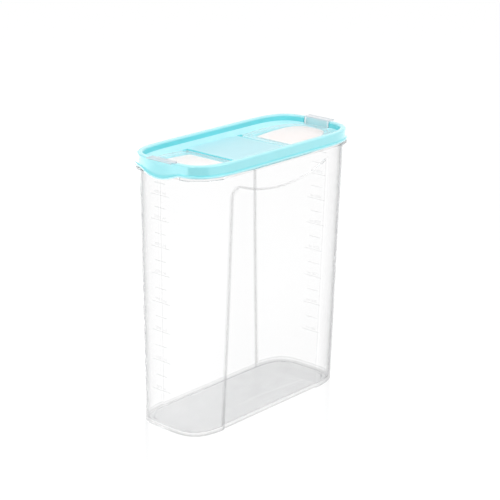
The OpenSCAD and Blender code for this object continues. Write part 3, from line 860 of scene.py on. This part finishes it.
def dee(near, size, off=0.0):
    """A closed D in plan: a straight near edge at x = near and the rounded end beyond it, moved
    outward by off."""
    long_half, wide_half, cap, p = size
    last = math.acos(((near - off - long_half + cap) / cap) ** (p / 2))
    even = np.linspace(-1, 1, 63)
    t = last * np.abs(even) ** 1.3
    x, y, nx, ny = end_point(np.cos(t), np.sin(t), long_half, wide_half, cap, p)
    x, y = x + off * nx, np.sign(even) * (y + off * ny)
    back = np.linspace(y[-1], y[0], 13)[1:-1]
    return np.append(x, np.full(len(back), x[-1])), np.append(y, back)


def flat_rows(outlines):
    """Rows on the slope from pairs of an outline and its height over the hinge."""
    return [on_slope(x, y, np.full(len(x), z)) for (x, y), z in outlines]


def on_lid(piece):
    """Makes a piece part of the lid."""
    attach(piece, "lid")
    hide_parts("lid")


# %% Pieces of the lid
capped = {"start": True, "end": True}


def tinted(name, rows, tint, **more):
    """A piece of the lid in the glossy plastic, with one depth of tint all over."""
    rows = np.asarray(rows, float)
    on_lid(shell(name, rows, gloss_lid, values=np.full(rows.shape[:2], tint), mark="deep", **more))


def half_round(rows):
    """The same rows turned half round, for the other end of the lid."""
    return np.asarray(rows) * (-1, -1, 1)


# %% Bridge and deck halves
DECK_OVER, DECK_UNDER, LIP_FOOT = -0.56, -2.15, -3.2
bridge_x = np.linspace(-BRIDGE_HALF, BRIDGE_HALF, 41)
bridge_y = bridge_edge(bridge_x, 42.4)
plan = np.vstack([np.stack([bridge_x, -bridge_y], -1), np.stack([bridge_x[::-1], bridge_y], -1)])
levels = [np.column_stack([plan, np.full(len(plan), z)]) for z in (BRIDGE_TOP - 1.6, BRIDGE_TOP)]
on_lid(lid_ring)
on_lid(shell("bridge", levels, matte_lid, **capped))

deck_edge, opening_edge = dee(DECK_NEAR, DECK, 0.3), dee(OPENING_NEAR, OPENING)
deck_rows = flat_rows([(deck_edge, DECK_OVER), (opening_edge, DECK_OVER),
                       (opening_edge, DECK_UNDER), (deck_edge, DECK_UNDER)])
lip_rows = flat_rows([(dee(OPENING_NEAR, OPENING, off), z)
                      for off, z in ((0, -2.1), (0, LIP_FOOT), (1.2, LIP_FOOT), (1.2, -2.1))])
for end, place in (("right", np.asarray), ("left", half_round)):
    tinted("deck_" + end, place(deck_rows), MID_SHADE, loop=True)
    tinted("pour_lip_" + end, place(lip_rows), MID_SHADE, loop=True)


# %% Gutters and bosses
def bar(profile, reach):
    """Rows of a bar along y: the profile is (x, z) pairs, and reach the list of y."""
    profile = np.asarray(profile, float)
    return [np.column_stack([profile[:, 0], np.full(len(profile), y), profile[:, 1]]) for y in reach]


BLOCK_FOOT, BLOCK_IN, BLOCK_OUT = 254.1, 37.4, 43.2
SLOT_RADIUS = 1.18
SOCKET_IN, SOCKET_OUT, BOSS_OUT = 39.0, 41.4, 42.9
gutter = bar([(BRIDGE_HALF, BRIDGE_TOP), (BRIDGE_HALF, BLOCK_FOOT), (44.2, BLOCK_FOOT), (44.2, 256.75),
              (42.6, 256.75), (42.6, 255.5), (37.8, 255.5), (37.8, 258.5), (37.5, BRIDGE_TOP)],
             (-42.3, 42.3))
bow = np.radians(np.arange(-50, 231, 28))
slot = [(HINGE_X + SLOT_RADIUS * math.cos(a), HINGE_Z - SLOT_RADIUS * math.sin(a)) for a in bow]
outside = [(BLOCK_IN, BLOCK_FOOT), (BLOCK_OUT, BLOCK_FOOT), (BLOCK_OUT, BRIDGE_TOP - 0.2),
           (BLOCK_OUT - 0.2, BRIDGE_TOP)]
open_block = [*outside, (40.9, BRIDGE_TOP), *slot, (39.1, BRIDGE_TOP), (BLOCK_IN, BRIDGE_TOP)]
whole_block = [*outside, (BLOCK_IN, BRIDGE_TOP)]
# Gutters and sockets are hollows, so they take the deepest painted shade.
for end, place in (("right", np.asarray), ("left", half_round)):
    tinted("gutter_" + end, place(gutter), HOLLOW_SHADE, **capped)
    for name, block, reach, tint in (("socket_rear", open_block, (SOCKET_IN, SOCKET_OUT), HOLLOW_SHADE),
                                     ("boss_rear", whole_block, (SOCKET_OUT, BOSS_OUT), MID_SHADE),
                                     ("socket_near", open_block, (-SOCKET_OUT, -SOCKET_IN), HOLLOW_SHADE),
                                     ("boss_near", whole_block, (-BOSS_OUT, -SOCKET_OUT), MID_SHADE)):
        tinted(name + "_" + end, place(bar(block, reach)), tint, **capped)

# %% [markdown]
# ## Frosted flaps
# Each flap is a milky plate with a raised border round a sunk window, a rib under it that plugs
# the pour opening, and an upright wall at its end that carries a thumb tab over the crest. A
# barrel with a pin at each end turns in the lid's sockets. The plastic is frosted: it veils what
# lies under it. A real scatter would be slow and noisy in so thin a plate, so the veil is a
# share of milky skin over a clear one, and grows on thick places. A pale, nearly solid sheet
# under the window is painted light: it stands for the light seen through the pour opening. The
# thicker tab has a heavier veil than the plate, and its greyer colour is painted shade.

# %% Frosted material
def frosted(name, colour, veil, rim):
    """Solid share = veil + rim * facing^2 + 0.3 * dense. Base colour mottled by 2.5 %."""
    material, tree, out = new_material(name)
    facing = node(tree, "LayerWeight", {"Blend": 0.5}).outputs["Facing"]
    share = scaled(tree, calc(tree, "POWER", facing, 2.0), rim, veil)
    share = scaled(tree, point_value(tree, "dense"), 0.3, share, clamp=True)
    share = calc(tree, "MULTIPLY", share, lets_light(tree))
    normal, _, shade = grained(tree, 1500.0, 0.2, (*colour, 1), 0.025)
    plastic(tree, out, {"Base Color": shade, "Roughness": 0.3, "IOR": 1.49, "Alpha": share,
                        "Normal": normal})
    return material


milky = frosted("frosted_flap", (0.97, 0.93, 0.94), 0.235, 0.03)
# The tab's greyer colour is painted shade: it is the same milky plastic as the plate.
shaded_milky_tab = frosted("frosted_tab_shaded", (0.62, 0.66, 0.70), 0.46, 0.08)
# Painted light: a pale, nearly solid sheet for the light seen through the pour opening.
milky_light_sheet = frosted("frosted_opening_light", (0.93, 0.87, 0.85), 0.80, 0.10)

# %% Flap sizes
# The plate's heights are over the hinge's axis, before the slope. The others are over the table.
FLAP_GAP = 0.4
PLATE_NEAR, WINDOW_NEAR = 39.6, 47.5
BOSS_SIDE_X, BOSS_SIDE_Y = 43.2, 38.9
TAB_HALF, RIB_WIDE = 15.3, 1.5
UPRIGHT_IN, UPRIGHT_OUT, TAB_TIP = 111.7, 112.9, 120.7
TAB_TOP, TAB_UNDER = 271.2, 269.8
PLATE_TOP, PLATE_UNDER = 1.35, -0.25
BORDER, WINDOW_DEPTH = 7.5, 0.6
# Outline and near edge of the pale sheet of painted light under the window.
OPENING_LIGHT, OPENING_LIGHT_NEAR = (106.6, 26.6, 57.4, 3.2), 49.3
print("thumb tab, mm wide:", 2 * TAB_HALF)


def plate_line(inset, sunk=False):
    """The plate's outline in plan, moved inward by inset. The plate has a tongue at its end and
    steps in beside the bosses, and the sunk window has neither."""
    long_half, wide_half, cap, p = DECK
    inset = inset + FLAP_GAP
    if sunk:
        step_x, step_y, near, tip_y = WINDOW_NEAR, wide_half - inset, WINDOW_NEAR, 4.0
    else:
        step_x, step_y, near = BOSS_SIDE_X + inset, BOSS_SIDE_Y - inset, PLATE_NEAR + inset
        tip_y = TAB_HALF + FLAP_GAP - inset
    first = math.asin((tip_y / wide_half) ** (p / 2))
    last = math.acos(max((step_x - long_half + cap) / cap, 0) ** (p / 2))
    t = np.linspace(first, last, 36)
    x, y, nx, ny = end_point(np.cos(t), np.sin(t), long_half, wide_half, cap, p)
    x, y = x - inset * nx, y - inset * ny
    tip = np.array([-1, -0.6, -0.2, 0.2, 0.6, 1]) * y[0]
    end_x = np.full(len(tip), x[0] + 0.02 if sunk else UPRIGHT_OUT + 0.1 - inset + FLAP_GAP)
    step_y = min(step_y, y[-1])
    near_y = np.linspace(step_y, -step_y, 9)
    return (np.concatenate([end_x, x, [x[-1]], np.full(9, near), [x[-1]], x[::-1]]),
            np.concatenate([tip, y, [step_y], near_y, [-step_y], -y[::-1]]))


# %% Flap pieces
def flap_piece(name, rows, which, density=None, material=milky, **more):
    """One piece of a flap, at the right-hand end or turned half round for the left. density is
    one number, or one for each column or each point, for how thick the piece looks."""
    rows = half_round(rows) if which == "left" else np.asarray(rows)
    if density is not None:
        more["values"] = np.broadcast_to(density, rows.shape[:2])
    piece = shell(name + "_" + which, rows, material, **more)
    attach(piece, "flap_" + which)
    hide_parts("flap_" + which)


# Each row: inset, whether it is the window's line, height, density.
PLATE = ((0.25, False, PLATE_UNDER, -0.4), (0.0, False, PLATE_UNDER + 0.2, -0.4),
         (0.0, False, PLATE_TOP - 0.3, 0.6), (0.1, False, PLATE_TOP - 0.1, 0.8),
         (0.3, False, PLATE_TOP, 0.2), (BORDER - 0.4, True, PLATE_TOP, 0.0),
         (BORDER, True, PLATE_TOP - 0.15, 0.6), (BORDER + 0.3, True, PLATE_TOP - WINDOW_DEPTH, -0.2))
plate_rows = flat_rows([(plate_line(inset, sunk), z) for inset, sunk, z, _ in PLATE])
plate_dense = np.array(PLATE)[:, 3:]
rib_rows = flat_rows([(dee(OPENING_NEAR + inset, OPENING, -inset), z)
                      for inset, z in ((0.4, -0.2), (0.4, -2.6), (1.6, -2.6), (1.6, -0.2))])
# The sheet of painted light lies inside the plate under the window, about the pour opening's shape.
opening_light_rows = flat_rows([(dee(OPENING_LIGHT_NEAR, OPENING_LIGHT), z) for z in (-0.1, 0.5)])

# %% Uprights, tabs and barrels
foot = HINGE_Z + (UPRIGHT_IN - HINGE_X) * SLOPE + 0.4
tab_profile = [(UPRIGHT_IN, TAB_UNDER), (UPRIGHT_IN, TAB_TOP - 0.3), (UPRIGHT_IN + 0.3, TAB_TOP),
               (TAB_TIP - 1.1, TAB_TOP), (TAB_TIP - 0.3, TAB_TOP - 0.25), (TAB_TIP, TAB_TOP - 0.8),
               (TAB_TIP - 0.2, TAB_UNDER + 0.1), (TAB_TIP - 0.7, TAB_UNDER)]
tab_dense = [0.3, 0.3, 0.1, 0.1, 0.5, 0.6, 0.0, -1.5]
upright_profile = [(UPRIGHT_IN, foot), (UPRIGHT_IN, TAB_UNDER), (UPRIGHT_OUT, TAB_UNDER),
                   (UPRIGHT_OUT, foot)]
upright_dense = [0.3, 0.5, -0.4, -0.4]
rib_profile = [(UPRIGHT_IN - 0.9, foot), (UPRIGHT_IN - 0.9, TAB_TOP - 1.4),
               (UPRIGHT_IN + 0.1, TAB_TOP - 1.1), (UPRIGHT_IN + 0.1, foot)]
circle = np.linspace(0, 2 * math.pi, 28, endpoint=False)
barrel_line = [(-41.1, 0.9), (-40.9, 1.1), (-38.7, 1.1), (-38.7, 1.35), (-38.5, 1.5)]
barrel_line += [(-y, r) for y, r in barrel_line[::-1]]
barrel_rows = [np.column_stack([HINGE_X + r * np.cos(circle), np.full(len(circle), y),
                                HINGE_Z + r * np.sin(circle)]) for y, r in barrel_line]
across_tab = (-TAB_HALF, TAB_HALF)
for which in ("right", "left"):
    flap_piece("flap_plate", plate_rows, which, plate_dense, **capped)
    flap_piece("flap_rib", rib_rows, which, 0.6, loop=True)
    flap_piece("flap_opening_light", opening_light_rows, which, material=milky_light_sheet, **capped)
    flap_piece("flap_tab", bar(tab_profile, across_tab), which, tab_dense, shaded_milky_tab, **capped)
    flap_piece("flap_upright", bar(upright_profile, across_tab), which, upright_dense, **capped)
    for side_name, edge in (("rear", TAB_HALF), ("near", -TAB_HALF + RIB_WIDE)):
        flap_piece("tab_rib_" + side_name, bar(rib_profile, (edge - RIB_WIDE, edge)), which, 1.0, **capped)
    flap_piece("flap_barrel", barrel_rows, which, -0.5, **capped)

# %% [markdown]
# ## Scale marks
# Both ends of the tub carry a scale in millilitres: a long mark with its number at every 500, and
# a short one half way between. A bump pattern could draw them, but they are raised in the
# mould, so they are thin strips and letters that stand proud of the wall and follow its taper.
# The left scale stands a little off the middle.

# %% Scale heights
LONG_MARKS = np.array([40.2, 70.7, 101.0, 130.2, 158.1, 185.3, 211.8, 236.1])
SHORT_MARKS = np.append((LONG_MARKS[:-1] + LONG_MARKS[1:]) / 2, LONG_MARKS[-1] + 11.5)
MARK_HALF, MARK_THICK, MARK_PROUD, MARK_DEEP = 11.3, 0.55, 0.25, 0.3
NUMBER_SIZE, NUMBER_THICK, NUMBER_PROUD, NUMBER_LIFT = 4.6, 0.12, 0.08, 1.2
LEFT_SHIFT = 3.4
print("marks:", len(LONG_MARKS), "long and", len(SHORT_MARKS), "short")


def mark_boxes(heights, half):
    """Corners of one low box for each height, as an array of (mark, corner, xyz). A box reaches
    from MARK_DEEP inside the wall's face to MARK_PROUD outside it."""
    corner = np.array([(a, b, c) for a in (-MARK_DEEP, MARK_PROUD) for b in (-1, 1) for c in (-0.5, 0.5)])
    x = tub_size(heights)[0][:, None] + corner[:, 0]
    y = np.broadcast_to(half * corner[:, 1], x.shape)
    return np.stack([x, y, heights[:, None] + MARK_THICK * corner[:, 2]], -1)


marks = np.vstack([mark_boxes(LONG_MARKS, MARK_HALF), mark_boxes(SHORT_MARKS, 0.6 * MARK_HALF)])
box_faces = np.array([(0, 1, 3, 2), (4, 6, 7, 5), (0, 4, 5, 1), (2, 3, 7, 6), (0, 2, 6, 4), (1, 5, 7, 3)])
mark_faces = (box_faces + 8 * np.arange(len(marks))[:, None, None]).reshape(-1, 4)
mark_plastic = clear_plastic("scale_marks", (0.45, 0.45, 0.46), 0.07, 0.4, 3.0, 0.0)

# %% Numbers
def number_mesh(text, size, depth):
    """A word as flat letters given a thickness, centred on x = 0, standing on y = 0."""
    words = bpy.data.curves.new("number", "FONT")
    words.body, words.size, words.extrude, words.align_x = text, size, depth, "CENTER"
    words.resolution_u = 3
    holder = add_object("number", words)
    bpy.context.view_layer.update()
    graph = bpy.context.evaluated_depsgraph_get()
    mesh = bpy.data.meshes.new_from_object(holder.evaluated_get(graph))
    bpy.data.objects.remove(holder)
    points = np.empty(len(mesh.vertices) * 3)
    mesh.vertices.foreach_get("co", points)
    return points.reshape(-1, 3), [list(face.vertices) for face in mesh.polygons]


for end, turned, shift in (("right", 1, 0.0), ("left", -1, LEFT_SHIFT)):
    points, faces = [marks.reshape(-1, 3)], mark_faces.tolist()
    for number, height in enumerate(LONG_MARKS):
        flat, letters = number_mesh(f"{500 * (number + 1)} ml", NUMBER_SIZE, NUMBER_THICK)
        line = height + NUMBER_LIFT + flat[:, 1]
        base = sum(len(part) for part in points)
        wall = tub_size(line)[0]
        points.append(np.stack([wall + NUMBER_PROUD + flat[:, 2], flat[:, 0], line], -1))
        faces += [[base + corner for corner in face] for face in letters]
    mesh = bpy.data.meshes.new("scale_" + end)
    placed = np.vstack(points) * (turned, turned, 1) + (0, shift, 0)
    mesh.from_pydata((placed * MM).tolist(), [], faces)
    mesh.materials.append(mark_plastic)
    on_tub(add_object("scale_" + end, mesh))
    print("scale", end, "faces:", len(faces))
